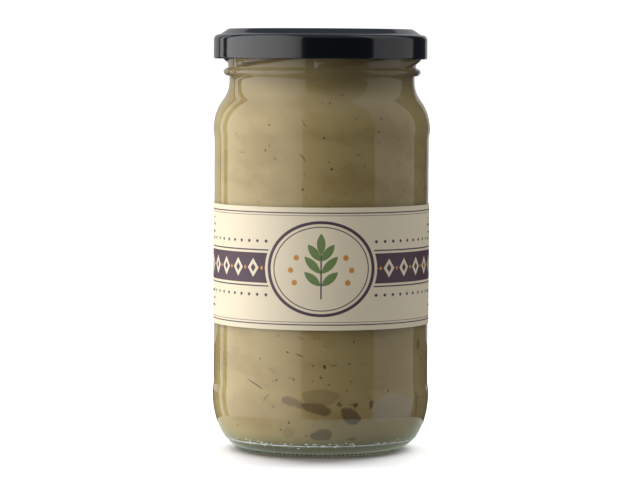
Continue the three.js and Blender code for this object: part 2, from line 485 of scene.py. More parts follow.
class GlassSettings(bpy.types.PropertyGroup):
    """The glass jar."""

    wall: FloatProperty(
        name="Wall", description="Thickness of the glass wall", default=2.3 * MM, min=0.0, unit="LENGTH"
    )
    knurls: IntProperty(name="Knurls", description="Small ribs round the foot", default=108, min=8)
    knurl_depth: FloatProperty(
        name="Knurl depth", description="How deep the foot's small ribs are",
        default=0.4 * MM, unit="LENGTH",
    )
    mark: FloatProperty(
        name="Mould marks", description="Size of the mould's marks on the heel",
        default=0.17 * MM, unit="LENGTH",
    )
    tint: FloatVectorProperty(
        name="Tint", description="Colour of the glass",
        default=(0.955, 0.985, 0.965), subtype="COLOR", size=3,
    )
    base_tint: FloatVectorProperty(
        name="Base tint", description="Colour of the thick glass at the foot", default=(0.68, 0.93, 0.84),
        subtype="COLOR", size=3,
    )
    index: FloatProperty(name="Refraction", description="Index of refraction", default=1.52, min=1.0)


class LidSettings(bpy.types.PropertyGroup):
    """The twist-off lid."""

    ring: FloatProperty(
        name="Ring", description="Radius over the raised ring on top", default=29.5 * MM, unit="LENGTH"
    )
    ring_round: FloatProperty(
        name="Ring rounding", description="Radius of the ring's outer edge", default=0.9 * MM, unit="LENGTH"
    )
    shoulder_round: FloatProperty(
        name="Shoulder rounding", description="Radius of the skirt's top edge",
        default=1.6 * MM, unit="LENGTH",
    )
    panel: FloatProperty(
        name="Panel", description="Radius of the sunk panel on top", default=25.6 * MM, unit="LENGTH"
    )
    panel_drop: FloatProperty(
        name="Panel drop", description="How far the panel lies under the ring",
        default=1.1 * MM, unit="LENGTH",
    )
    aside: FloatProperty(
        name="Aside", description="How far the lid sits to the left on its play",
        default=0.5 * MM, unit="LENGTH",
    )
    sheet: FloatProperty(
        name="Sheet", description="Thickness of the sheet metal", default=0.5 * MM, unit="LENGTH"
    )
    paint: FloatVectorProperty(
        name="Paint", description="Colour of the lacquer",
        default=(0.002, 0.0024, 0.004), subtype="COLOR", size=3,
    )


class LabelSettings(bpy.types.PropertyGroup):
    """The paper label and its print."""

    thickness: FloatProperty(
        name="Thickness", description="Thickness of the paper", default=0.14 * MM, unit="LENGTH"
    )
    back_gap: FloatProperty(
        name="Back gap", description="Angle between the label's ends",
        default=math.radians(12.0), subtype="ANGLE",
    )
    paper: FloatVectorProperty(
        name="Paper", description="Colour of the bare paper",
        default=(0.81, 0.71, 0.53), subtype="COLOR", size=3,
    )
    plum: FloatVectorProperty(
        name="Plum ink", description="Colour of the dark print", default=(0.085, 0.045, 0.066),
        subtype="COLOR", size=3,
    )
    leaf: FloatVectorProperty(
        name="Leaf ink", description="Colour of the leaves",
        default=(0.16, 0.24, 0.08), subtype="COLOR", size=3,
    )
    amber: FloatVectorProperty(
        name="Amber ink", description="Colour of the small dots", default=(0.62, 0.26, 0.05),
        subtype="COLOR", size=3,
    )


class PureeSettings(bpy.types.PropertyGroup):
    """The puree and what is mixed into it."""

    reach: FloatProperty(
        name="Reach", description="How far the puree reaches into the glass",
        default=0.15 * MM, unit="LENGTH",
    )
    base: FloatVectorProperty(
        name="Puree", description="Main colour of the puree", default=(0.326, 0.243, 0.106),
        subtype="COLOR", size=3,
    )
    dark: FloatVectorProperty(
        name="Darker puree", description="Colour of its browner parts", default=(0.278, 0.195, 0.076),
        subtype="COLOR", size=3,
    )
    # Painted shade inside the dark air pockets.
    pocket: FloatVectorProperty(
        name="Pocket", description="Colour inside the air pockets", default=(0.123, 0.078, 0.036),
        subtype="COLOR", size=3,
    )
    # Painted reflection of the glass over the pale air pockets.
    pocket_reflection: FloatVectorProperty(
        name="Pale pocket", description="Colour of the pockets that catch light",
        default=(0.36, 0.29, 0.185), subtype="COLOR", size=3,
    )
    specks: IntProperty(name="Specks", description="How many dark specks show", default=620, min=0)
    fibres: IntProperty(name="Fibres", description="How many thin fibres show", default=46, min=0)
    seed: IntProperty(name="Seed", description="Which random draw is used", default=7)


class StageSettings(bpy.types.PropertyGroup):
    """The camera, the floor and the lights."""

    distance: FloatProperty(
        name="Distance", description="From the camera to the jar's axis", default=0.973, unit="LENGTH"
    )
    eye: FloatProperty(name="Eye height", description="Height of the camera", default=0.1217, unit="LENGTH")
    aside: FloatProperty(
        name="Aside", description="How far the camera stands to the left", default=0.38 * MM, unit="LENGTH"
    )
    pitch: FloatProperty(
        name="Pitch", description="How far the camera looks down",
        default=math.radians(3.31), subtype="ANGLE",
    )
    roll: FloatProperty(
        name="Roll", description="Roll of the camera", default=math.radians(0.3), subtype="ANGLE"
    )
    lens: FloatProperty(name="Lens", description="Focal length in millimetres", default=174.4, min=10)
    key: FloatProperty(
        name="Key", description="Brightness of the left softbox, 1 for white", default=3.5, min=0
    )
    fill: FloatProperty(
        name="Fill", description="Brightness of the right softbox, 1 for white", default=0.92, min=0
    )
    gloss: FloatProperty(
        name="Gloss", description="Share of the softboxes' brightness that gloss shows", default=0.55,
        min=0, max=1,
    )
    inner: FloatProperty(
        name="Inner", description="Strength of the lamp for the puree's left", default=2.1, min=0
    )
    rim: FloatProperty(
        name="Rim", description="Brightness of the strip behind, 1 for white", default=1.0, min=0
    )
    backdrop: FloatProperty(
        name="Backdrop", description="Brightness of what stands behind", default=0.45, min=0
    )
    overhead: FloatProperty(
        name="Overhead", description="Brightness of the light above", default=1.25, min=0
    )
    behind: FloatProperty(
        name="Behind", description="Strength of what shows through clear glass", default=0.7, min=0
    )
    table: FloatProperty(
        name="Table", description="Glow of the small table under the jar", default=0.32, min=0
    )
    floor: FloatProperty(name="Floor", description="Strength of each lamp on the floor", default=4.0, min=0)
    sky: FloatProperty(
        name="Sky", description="Brightness of the sky above in gloss, 1 for white", default=0.35, min=0
    )
    ambient: FloatProperty(
        name="Ambient", description="Strength of the light from all round", default=0.1, min=0
    )


def thread_relief(turn, height):
    """How far the threads stand out: each is a rib whose middle climbs evenly with the turn, and whose
    section is the cosine of (height - middle) over its half height, lower at both ends."""
    relief = np.zeros(np.broadcast_shapes(turn.shape, height.shape))
    for number in range(THREADS):
        start = THREAD_LOW_END + 360 / THREADS * number
        share = ((np.degrees(turn) - start) % 360) / THREAD_SPAN
        middle = THREAD_LOW_MIDDLE + THREAD_RISE * share
        across = np.clip((height - middle) / THREAD_HALF, -1, 1)
        ends = np.clip(THREAD_END_REACH + np.minimum(share, 1 - share) / THREAD_END_SHARE, 0, 1)
        rib = (THREAD_REACH - FINISH) * ends * np.cos(across * np.pi / 2) ** 0.8
        relief = np.maximum(relief, np.where(share <= 1, rib, 0))
    return relief


def build_glass_mesh(settings):
    """The whole jar as one turned outline: foot, heel, panel, shoulder, neck, bead, finish, rim and the
    inside back down. The foot has small ribs by a cosine of the turn, and the finish has its threads."""
    mouth = NECK - settings.wall
    rim_middle = (mouth + FINISH) / 2
    thread_rows = 36
    outside = chain(
        dome(FOOT_INNER, PUSH_UP, 0, 8),
        line(FOOT_INNER, 0, FOOT_OUTER - FOOT_ROUND, 0, 5),
        arc(FOOT_OUTER - FOOT_ROUND, FOOT_ROUND, FOOT_ROUND, FOOT_ROUND, -90, 0, 4),
        line(FOOT_OUTER, FOOT_ROUND, FOOT_OUTER, FOOT_RISE, 2),
        body_wall(0, 0, 42, 6, 14),
        arc(NECK, BEAD_MIDDLE, BEAD - NECK, BEAD_MIDDLE - NECK_TO, -90, 70, 12),
        line(FINISH, FINISH_FROM, FINISH, RIM_TOP - RIM_ROUND, thread_rows),
        arc(rim_middle, RIM_TOP - RIM_ROUND, FINISH - rim_middle, RIM_ROUND, 0, 180, 10),
        body_wall(settings.wall, FLOOR, 18, 4, 8)[::-1],
        dome(FLOOR_REACH, PUSH_UP + FLOOR, FOOT_RISE + FLOOR, 5)[::-1],
    )
    radius, height = outside[:, :1], outside[:, 1:]
    turn = turns(GLASS_COLUMNS)[None, :]
    is_outside = np.arange(len(outside))[:, None] < np.argmax(outside[:, 1])
    finish = is_outside & (height > FINISH_FROM - THREAD_HALF) & (height < RIM_TOP - RIM_ROUND)
    parting = PARTING_RIDGE * np.exp(-(((height - PARTING_HEIGHT) / PARTING_WIDTH) ** 2))
    radius = radius + np.where(is_outside & (radius > FOOT_OUTER), parting, 0)
    radius = radius + np.where(finish, np.maximum(thread_relief(turn, height) + FINISH - radius, 0), 0)
    foot = smooth(radius, FOOT_INNER, FOOT_INNER + KNURL_EDGE) * (1 - smooth(height, FOOT_ROUND, FOOT_RISE))
    foot = foot * (radius <= FOOT_OUTER + 1e-6) * is_outside
    notch = settings.knurl_depth * foot * (1 - np.cos(settings.knurls * turn)) / 2
    return capped_turning("glass_jar_clear", round_points(radius - notch, height + notch * KNURL_LIFT, turn))


def heel_points(height):
    """The heel's outside at a height: its radius, and how far its normal dips, in radians."""
    down = (height - BULGE_TOP) / (BULGE_TOP - FOOT_RISE)
    across = np.sqrt(1 - down**2)
    dip = np.arctan2(-down / (BULGE_TOP - FOOT_RISE), across / (BULGE - FOOT_OUTER))
    return FOOT_OUTER + (BULGE - FOOT_OUTER) * across, dip


def build_mould_ring(settings):
    """The thin ring on the heel where the mould's halves meet its bottom plate: a tube whose size goes up
    and down by two sine waves of the turn."""
    steps, sides = 720, 6
    turn = turns(steps)
    radius, dip = heel_points(PARTING_HEIGHT)
    size = settings.mark * (0.75 + 0.25 * np.sin(31 * turn) * np.sin(17 * turn + 1))
    theta = turns(sides)
    out = size[:, None] * np.cos(theta)
    up = size[:, None] * np.sin(theta)
    c, s = math.cos(dip), math.sin(dip)
    points = round_points(radius + out * c + up * s, PARTING_HEIGHT - out * s + up * c, turn[:, None])
    return mesh_piece("glass_mould_ring", points.reshape(-1, 3), [wrapped_quads(steps, sides, True)])


def build_bumps(name, turn, height, *sizes):
    """Small oval bumps on the outside of the heel or the foot, in one mesh: balls stretched to their
    lengths along the wall, their widths up it and their thicknesses out of it."""
    (along, up, out), _, faces = stretched_balls(3, 6, *sizes)
    near, dip = (values[:, None] for values in heel_points(np.maximum(height, FOOT_RISE)))
    c, s = np.cos(dip), np.sin(dip)
    radius = near + out * c + up * s
    points = round_points(radius, height[:, None] - out * s + up * c, turn[:, None] + along / near)
    return many(name, points, faces)


def glass_edge(name, colour, other, roughness):
    """Painted light on glass edges: a gloss finish between two colours, pale for painted glints where light
    gathers and dark for painted shade where it is lost.
    """
    shade = Shade(name)
    grain = shade.noise(shade.place(), 0.6 * MM, 2.0)
    return shade.finish(shade.principled({
        "Base Color": shade.mix(grain, colour, other),
        "Roughness": roughness + grain * 0.2,
        "IOR": 1.5,
    }))


def clear_glass(settings):
    """Clear moulded glass: a faint green that deepens at the thick foot, small waves in its surface and
    thin marks of handling. Lamps reach through it, so that what it holds is lit."""
    shade = Shade("clear_moulded_glass")
    place = shade.place()
    height = shade.axes(place)[2]
    tint = shade.mix(height.below(9 * MM, 3 * MM), tuple(settings.tint), tuple(settings.base_tint))
    marks = shade.noise(place, 5 * MM, 4.0, 0.6).above(0.55, 0.8)
    waves = shade.noise(place, 22 * MM, 1.0)
    glass = shade.principled({
        "Base Color": tint,
        "Roughness": 0.012 + marks * 0.03,
        "IOR": settings.index,
        "Transmission Weight": 1.0,
        "Normal": shade.bump(waves, 0.25, 0.4 * MM),
    })
    lamps = shade.node("ShaderNodeLightPath", {}, {}, "Is Shadow Ray")
    through = shade.node("ShaderNodeBsdfTransparent", {}, {"Color": (0.50, 0.52, 0.50, 1)})
    return shade.finish(shade.node("ShaderNodeMixShader", {}, {0: lamps, 1: glass, 2: through}))


def build_lid_mesh(settings):
    """The lid as one closed outline turned about the axis: panel, ring, shoulder, skirt, curl and the
    inside. Under it six lugs reach in, each a bump of the curl by a high power of a cosine of the turn."""
    bottom, top = LID_LOW.z, LID_HIGH.z
    radius = (LID_HIGH.x - LID_LOW.x) / 2
    s = settings
    ring_axis, ring_middle = s.ring - s.ring_round, top - s.ring_round
    valley, valley_height = s.ring + VALLEY_OUT, top - VALLEY_DROP
    skirt_top = top - SKIRT_DROP
    shoulder_axis = radius - s.shoulder_round
    flat, slope = s.panel - PANEL_EASE, s.panel + PANEL_SLOPE
    cone = arc(ring_axis, ring_middle, s.ring_round, s.ring_round, 88, CONE_LEAN, 8)
    inner_ring, inner_shoulder = s.ring_round - s.sheet, s.shoulder_round - s.sheet
    panel_top = top - s.panel_drop
    under = panel_top - s.sheet
    inside_curl = radius - 2 * CURL
    outline = chain(
        line(0, panel_top, flat, panel_top, 8),
        ease_across(flat, panel_top, slope, top, 12),
        cone,
        line(*cone[-1], valley, valley_height, 4),
        arc(shoulder_axis, skirt_top, s.shoulder_round, s.shoulder_round, SHOULDER_LEAN, 0, 14),
        line(radius, skirt_top, radius, bottom + CURL, 8),
        arc(radius - CURL, bottom + CURL, CURL, CURL, 0, -180, 12),
        line(inside_curl, bottom + CURL, inside_curl, bottom + CURL_TOP, 2),
        line(radius - s.sheet, bottom + CURL_TOP + SKIRT_STEP, radius - s.sheet, skirt_top, 2),
        arc(shoulder_axis, skirt_top, inner_shoulder, inner_shoulder, 0, SHOULDER_LEAN, 4),
        line(valley, valley_height - s.sheet, ring_axis, ring_middle + inner_ring, 2),
        line(slope, top - s.sheet, s.panel + PANEL_STEP, under, 2),
        line(s.panel, under, 0, under, 2),
    )
    turn = turns(LID_COLUMNS)[None, :]
    r, z = outline[:, :1], outline[:, 1:]
    inside = np.arange(len(outline))[:, None] > np.argmin(outline[:, 1])
    low = 1 - smooth(z, bottom + LUG_FULL, bottom + LUG_TOP)
    lug = np.cos(turn * THREADS / 2) ** 18
    r = r - lug * low * np.where(inside, LUG_REACH, LUG_DENT)
    return capped_turning("lid_black", round_points(r, z, turn) - (s.aside, 0, 0))


def ease_across(r0, z0, r1, z1, steps):
    """Points that go straight outwards while the height moves over as half a cosine wave."""
    return ease(z0, r0, z1, r1, steps)[:, ::-1]


def black_lacquer(settings):
    """Gloss black lacquer on tinplate: a faint orange peel, fine dust and a curl painted paler."""
    shade = Shade("black_lacquer")
    place = shade.place()
    peel = shade.noise(place, 1.6 * MM, 2.0)
    cloud = shade.noise(place, 14 * MM, 3.0, 0.6)
    dust = shade.noise(place, 0.35 * MM, 1.0).above(0.68, 0.8) * 0.35
    x, y, z = shade.axes(place)
    far = (x * x + y * y).root()
    height = z - LID_LOW.z
    curl = height.below(0.7 * MM, 0.2 * MM) * far.above(32.2 * MM, 32.9 * MM)
    paler = tuple(c * 3 + 0.006 for c in settings.paint)
    colour = shade.mix((dust + curl * 0.5).least(1.0), tuple(settings.paint), paler)
    return shade.finish(shade.principled({
        "Base Color": colour,
        "Roughness": 0.08 + cloud * 0.06 + dust * 0.2,
        "IOR": 1.7,
        "Normal": shade.bump(peel, 0.12, 0.05 * MM),
    }))


def build_label_mesh(settings):
    """A strip of paper bent round the panel: the rectangle of a section carried along the arc, closed at
    both ends. Its own map holds the way along the paper from the front, and up it from its lower edge, in
    millimetres."""
    outer = (LABEL_HIGH.x - LABEL_LOW.x) / 2 - PAPER_INSET
    inner = outer - settings.thickness
    half = math.pi - settings.back_gap / 2
    turn = np.linspace(-half, half, LABEL_COLUMNS)
    rows = 9
    up = np.linspace(LABEL_LOW.z, LABEL_HIGH.z, rows)
    height = np.concatenate((up, up[::-1]))
    radius = np.concatenate((np.full(rows, outer), np.full(rows, inner)))
    lift = PAPER_LIFT * np.sin(turn * 9.0) * np.sin(turn * 4.0 + 1.0)
    points = round_points(radius[None, :] + lift[:, None], height[None, :], turn[:, None]).reshape(-1, 3)
    section = 2 * rows
    i = np.arange(LABEL_COLUMNS - 1)[:, None] * section
    j = np.arange(section)[None, :]
    following = (j + 1) % section
    sides = np.stack((i + j, i + following, i + section + following, i + section + j), axis=-1).reshape(-1, 4)
    k = np.arange(rows - 1)
    start = np.column_stack((k, section - 1 - k, section - 2 - k, k + 1))
    end = start[:, ::-1] + (LABEL_COLUMNS - 1) * section
    piece = mesh_piece("paper_label_printed", points, [sides, start, end], 40)
    along = np.repeat(turn * outer / MM, section)
    upward = np.tile((height - LABEL_LOW.z) / MM, LABEL_COLUMNS)
    corners = np.zeros(len(piece.data.loops), dtype=np.int32)
    piece.data.loops.foreach_get("vertex_index", corners)
    chart = piece.data.uv_layers.new(name="paper")
    chart.data.foreach_set("uv", np.column_stack((along, upward))[corners].ravel())
    return piece


class Print(Shade):
    """A label's print: shapes on its own map, in millimetres, each a mask that is 1 inside."""

    EDGE = 0.06

    def __init__(self, name):
        super().__init__(name)
        chart = self.node("ShaderNodeUVMap", {"uv_map": "paper"}, {})
        self.along, self.up, _ = self.axes(chart)

    def inside(self, distance):
        """1 where a distance is below 0, with an edge as soft as ink's."""
        return distance.below(self.EDGE, -self.EDGE)

    def band(self, low, high):
        """A stripe round the label."""
        return self.inside(abs(self.up - (low + high) / 2) - (high - low) / 2)

    def oval(self, along, up, half_width, half_height):
        """The distance from an oval's line, by the size of the point scaled to the unit circle."""
        x = along / half_width
        y = (self.up - up) / half_height
        return ((x * x + y * y).root() - 1) * min(half_width, half_height)

    def lozenges(self, along, up, pitch, half_width, half_height):
        """A row of lozenges: |x| / half width + |y| / half height is below 1."""
        x = abs((along / pitch).math("FRACT") - 0.5) * pitch
        y = abs(self.up - up)
        return self.inside((x / half_width + y / half_height - 1) * min(half_width, half_height))

    def leaf(self, along, up, x, y, turn, length, width):
        """A leaf: where two circles overlap, its tips length apart and its sides width apart."""
        across = (length**2 - width**2) / (4 * width)
        big = across + width / 2
        c, s = math.cos(math.radians(turn)), math.sin(math.radians(turn))
        dx, dy = along - x, up - y
        a = dx * c + dy * s - length / 2
        b = abs(dy * c - dx * s) + across
        return self.inside((a * a + b * b).root() - big)

    def ball(self, along, x, y):
        """The distance from a point of the map."""
        dx, dy = along - x, self.up - y
        return (dx * dx + dy * dy).root()


def printed_paper(settings):
    """Cream paper with a generic print: a plum band with lozenges round the jar, thin rules, an oval field
    with a leaf sprig and amber berries at the front, and ruled lines at the sides."""
    ink = Print("printed_paper")
    height = (LABEL_HIGH.z - LABEL_LOW.z) / MM
    middle = height / 2
    front = abs(ink.along)
    rules = edges = small = 0
    for low, high in ((1.5, 1.85), (2.4, 2.55)):
        rules = rules + ink.band(low, high) + ink.band(height - high, height - low)
    for side in (-1, 1):
        edges = edges + ink.inside(abs(ink.up - middle - 5.5 * side) - 0.2)
        small = small + ink.lozenges(ink.along, middle + 8.2 * side, LOZENGE_PITCH / 2, 0.62, 0.62)
    band = ink.band(middle - BAND_HALF, middle + BAND_HALF)
    row = ink.lozenges(ink.along, middle, LOZENGE_PITCH, 2.1, 2.9)
    cores = ink.lozenges(ink.along, middle, LOZENGE_PITCH, 0.95, 1.3)
    beads = ink.lozenges(ink.along + LOZENGE_PITCH / 2, middle, LOZENGE_PITCH, 0.55, 0.75)
    field = ink.oval(ink.along, middle, *FIELD_HALF)
    ring = ink.inside(field) - ink.inside(field + 0.9)
    thin = ink.inside(field + 1.7) - ink.inside(field + 2.0)
    oval = ink.inside(field - 0.8)
    stem = ink.inside(front - 0.22) * ink.inside(abs(ink.up - middle + 0.6) - 8.6)
    leaves = ink.leaf(front, ink.up, 0.0, middle + 4.2, 90, 6.6, 2.6)
    for y, turn, length in ((2.4, 52, 6.4), (-1.4, 46, 7.2), (-5.2, 40, 6.6)):
        leaves = leaves.most(ink.leaf(front, ink.up, 0.1, middle + y, turn, length, 2.5))
    berries = 0
    for x, y in ((7.6, 3.4), (9.4, -0.4), (8.2, -4.2)):
        berries = berries + ink.inside(ink.ball(front, x, middle + y) - BERRY)
    side = ink.inside(abs(front - 62) - 17)
    line_number, word_number = ink.up / LINE_PITCH, ink.along / WORD_PITCH
    lines = abs(line_number.math("FRACT") - 0.5).below(0.16, 0.12)
    cell = ink.vector(word_number.math("FLOOR"), line_number.math("FLOOR"), 0)
    word = ink.node("ShaderNodeTexWhiteNoise", {"noise_dimensions": "2D"}, {"Vector": cell})
    lines = lines * word.above(0.2, 0.25) * side * ink.inside(abs(abs(ink.up - middle) - 11.2) - 3.4)

    paper, plum = tuple(settings.paper), tuple(settings.plum)
    fibre = ink.noise(ink.place(), 0.5 * MM, 4.0, 0.6)
    cloud = ink.noise(ink.place(), 12 * MM, 3.0)
    shaded = tuple(c * f for c, f in zip(paper, (0.93, 0.92, 0.89)))
    bare = ink.mix(cloud * 0.35 + fibre * 0.25, paper, shaded)
    dark = ink.mix(fibre.above(0.6, 0.75) * 0.25, plum, tuple(c * 1.8 for c in plum))
    outside = 1 - oval
    plums = (band * (1 - row) + edges + small).least(1.0) * outside + rules + lines * 0.8
    plums = plums + row * band * cores * outside + ring + thin + stem
    colour = ink.mix(plums.least(1.0), bare, dark)
    colour = ink.mix(beads * band * outside, colour, tuple(settings.amber))
    colour = ink.mix(leaves * oval, colour, tuple(settings.leaf))
    colour = ink.mix(berries * oval, colour, tuple(settings.amber))
    printed = (plums + leaves * oval + berries * oval).least(1.0)
    relief = ink.bump(fibre, 0.3, 0.04 * MM)
    relief = ink.bump(cloud, 0.2, 0.12 * MM, relief)
    return ink.finish(ink.principled({
        "Base Color": colour,
        "Roughness": 0.62 - printed * 0.16 + fibre * 0.1,
        "Specular IOR Level": 0.4,
        "Normal": relief,
    }))


def hidden_pockets(seed):
    """More pockets like the front's, near the bottom of the sides and the back, drawn by a seeded rule."""
    draw = np.random.default_rng(seed)
    made = []
    for number in range(HIDDEN_POCKETS):
        place = (number + draw.uniform(0.1, 0.9)) / HIDDEN_POCKETS
        turn = FRONT_SPAN + (360 - 2 * FRONT_SPAN) * place
        wide = draw.uniform(2.0, 10.0)
        high = wide * draw.uniform(0.3, 0.6)
        height, tilt, strength = draw.uniform(8, 24), draw.uniform(-25, 25), draw.uniform(-0.8, 0.9)
        made.append((turn, height, wide, high, tilt, 0.1, strength))
    return made


def pocket_look(turn, height, pockets):
    """How much painted shade, or below 0 how much painted reflection, the pockets put on the puree. A pocket
    is an ellipse on the wall, its edge pushed in and out by three sine waves. Where two meet, the stronger
    look holds."""
    look = np.zeros(np.broadcast_shapes(turn.shape, height.shape))
    for number, (at, z, wide, high, tilt, uneven, strength) in enumerate(pockets):
        along = ((turn - math.radians(at) + np.pi) % (2 * np.pi) - np.pi) * POCKET_RADIUS
        upward = height - z * MM
        c, s = math.cos(math.radians(tilt)), math.sin(math.radians(tilt))
        x = (along * c + upward * s) / (wide * MM / 2)
        y = (upward * c - along * s) / (high * MM / 2)
        angle = np.arctan2(y, x)
        waves = np.sin(2 * angle + number) + 0.7 * np.sin(3 * angle + 2.1 * number) + 0.4 * np.sin(5 * angle)
        far = np.sqrt(x * x + y * y) / (1 + uneven * waves)
        share = 1 - smooth(far, 0.94, 1.04)
        look = np.where(abs(strength) * share > abs(look), strength * share, look)
    return look


def build_puree_mesh(settings, wall):
    """The puree as the inside of the glass, turned about the axis and pushed out by the reach. Its top is a
    low heap with three slow waves. The mesh holds the painted shade and painted reflection of the air
    pockets."""
    inset = wall - settings.reach
    side = body_wall(inset, FLOOR - settings.reach, 48, 8, 14)
    panel, neck = PANEL - inset, NECK - inset
    edge = PUREE_HIGH.z - HEAP_DROP
    outline = chain(
        dome(FLOOR_REACH, PUSH_UP + FLOOR - settings.reach, FOOT_RISE + FLOOR - settings.reach, 8),
        side[side[:, 1] < PANEL_FROM],
        line(panel, PANEL_FROM, panel, LABEL_LOW.z, 42),
        line(panel, LABEL_LOW.z, panel, PANEL_TO, 30),
        side[side[:, 1] > PANEL_TO],
        line(neck, NECK_FROM, neck, edge, 8),
        dome(neck, PUREE_HIGH.z, edge + HEAP_LIP, 10)[::-1],
    )
    turn = turns(PUREE_COLUMNS)[None, :]
    r, z = outline[:, :1], outline[:, 1:]
    on_top = smooth(z, PUREE_HIGH.z - HEAP_WAVE_DEPTH, PUREE_HIGH.z)
    waves = HEAP_WAVE * (np.sin(3 * turn + r * 260) - 1) * on_top
    piece = capped_turning("baba_ganoush_puree", round_points(r, z + waves, turn))
    touching = smooth(z, POCKETS_FROM, POCKETS_FULL) * (z < NECK_FROM)
    look = pocket_look(turn, z, (*POCKETS, *hidden_pockets(settings.seed))) * touching
    store = piece.data.attributes.new("pocket", "FLOAT", "POINT")
    store.data.foreach_set("value", np.append(look[1:-1], (0, 0)).astype(np.float32))
    return piece


def aubergine_puree(settings):
    """Smoked aubergine puree pressed to the glass: beige, mottled with browner and paler smears, finely
    grained, with painted shade in most air pockets and a painted reflection in a few, and painted shade of
    the lid at the mouth."""
    shade = Shade("aubergine_puree")
    place = shade.place()
    x, y, z = shade.axes(place)
    slanted = shade.vector(x, y, z * 1.8 + x * 0.4)
    smear = shade.noise(slanted, 16 * MM, 4.0, 0.55)
    fleck = shade.noise(place, 1.1 * MM, 3.0, 0.6)
    grain = shade.noise(place, 0.35 * MM, 2.0)
    pocket = shade.node("ShaderNodeAttribute", {"attribute_name": "pocket"}, {}, "Fac")
    base, dark = tuple(settings.base), tuple(settings.dark)
    pale = tuple(min(1.0, c * 1.06) for c in base)
    colour = shade.mix(smear.above(0.35, 0.7), pale, base)
    colour = shade.mix(smear.above(0.48, 0.66) * 0.7 + fleck.above(0.6, 0.75) * 0.3, colour, dark)
    colour = shade.mix(grain.above(0.6, 0.75) * 0.12, colour, tuple(c * 0.6 for c in dark))
    # Painted shade of the lid: the puree darkens towards the mouth.
    mouth = z.above(108.5 * MM, 117.5 * MM)
    colour = shade.mix(mouth * 0.75, colour, tuple(c * 0.35 for c in base))
    # Painted shade inside the dark air pockets.
    pocket_shade = shade.mix(fleck, tuple(settings.pocket), tuple(c * 0.75 for c in settings.pocket))
    colour = shade.mix(pocket.most(0), colour, pocket_shade)
    # Painted reflection of the glass over the pale air pockets.
    colour = shade.mix((0 - pocket).most(0), colour, tuple(settings.pocket_reflection))
    return shade.finish(shade.principled({
        "Base Color": colour,
        "Roughness": 0.55 - pocket * 0.1 + grain * 0.1,
        "Specular IOR Level": 0.1,
        "Normal": shade.bump(fleck, 0.12, 0.15 * MM),
    }))


def surface_spots(draw, count, low, high, pockets, front):
    """Places on the puree's side, away from the air pockets: turns in radians and heights in metres. Those
    given in front come first."""
    turn = np.concatenate((np.radians(front[:, 0]), draw.uniform(-np.pi, np.pi, 3 * count)))
    height = np.concatenate((front[:, 1] * MM, draw.uniform(low, high, 3 * count)))
    free = (pocket_look(turn, height, pockets) == 0) | (np.arange(len(turn)) < len(front))
    return turn[free][:count], height[free][:count]


def on_wall(turn, height, along, up, out, wall):
    """Points near the glass's inside: along it and up it from a place, and out of the puree, in metres."""
    inside = body_wall(wall, FLOOR, 30, 6, 14)
    radius = np.interp(height + up, inside[:, 1], inside[:, 0]) + out
    return round_points(radius, height + up, turn + along / radius)


def build_grains(name, reach, wall, turn, height, lean, *sizes):
    """Many small flat grains in one mesh: balls stretched to their lengths, widths and thicknesses, uneven
    by sine waves of their own, and leaning on the puree's side."""
    (a, b, out), unit, faces = stretched_balls(3, 8, *sizes)
    turn, height = turn[:, None], height[:, None]
    uneven = 1 + 0.22 * np.sin(unit[0] * 5 + turn * 31) * np.cos(unit[1] * 4 + height * 9000)
    a, b = a * uneven, b * uneven
    c, s = np.cos(lean)[:, None], np.sin(lean)[:, None]
    return many(name, on_wall(turn, height, a * c - b * s, a * s + b * c, reach + out, wall), faces)


def build_fibres(name, reach, wall, turn, height, lean, length, thick, bend):
    """Thin fibres lying on the puree's side: five-sided tubes along bent lines, thinner at both ends."""
    steps, sides = 9, 5
    each = (turn, height, lean, length, thick, bend)
    turn, height, lean, length, thick, bend = (values[:, None, None] for values in each)
    t = np.linspace(-1, 1, steps)[:, None]
    a = t * length / 2
    b = bend * (1 - t**2) + 0.05 * bend * np.sin(9 * t)
    size = thick / 2 * (0.25 + 0.75 * np.sqrt(1 - 0.98 * t**2))
    c, s = np.cos(lean), np.sin(lean)
    theta = turns(sides)
    along = a * c - b * s - size * s * np.cos(theta)
    up = a * s + b * c + size * c * np.cos(theta)
    points = on_wall(turn, height, along, up, reach + size * np.sin(theta), wall)
    ends = np.array((np.arange(sides)[::-1], (steps - 1) * sides + np.arange(sides)))
    return many(name, points, [wrapped_quads(steps, sides, False), ends])


def mottled(name, colour, other, size, roughness):
    """A matt finish that wanders between two colours, for the small things in the puree."""
    shade = Shade(name)
    place = shade.place()
    wander = shade.noise(place, size, 3.0, 0.6)
    return shade.finish(shade.principled({
        "Base Color": shade.mix(wander.above(0.35, 0.65), colour, other),
        "Roughness": roughness + wander * 0.15,
        "Specular IOR Level": 0.15,
        "Normal": shade.bump(wander, 0.4, 0.05 * MM),
    }))


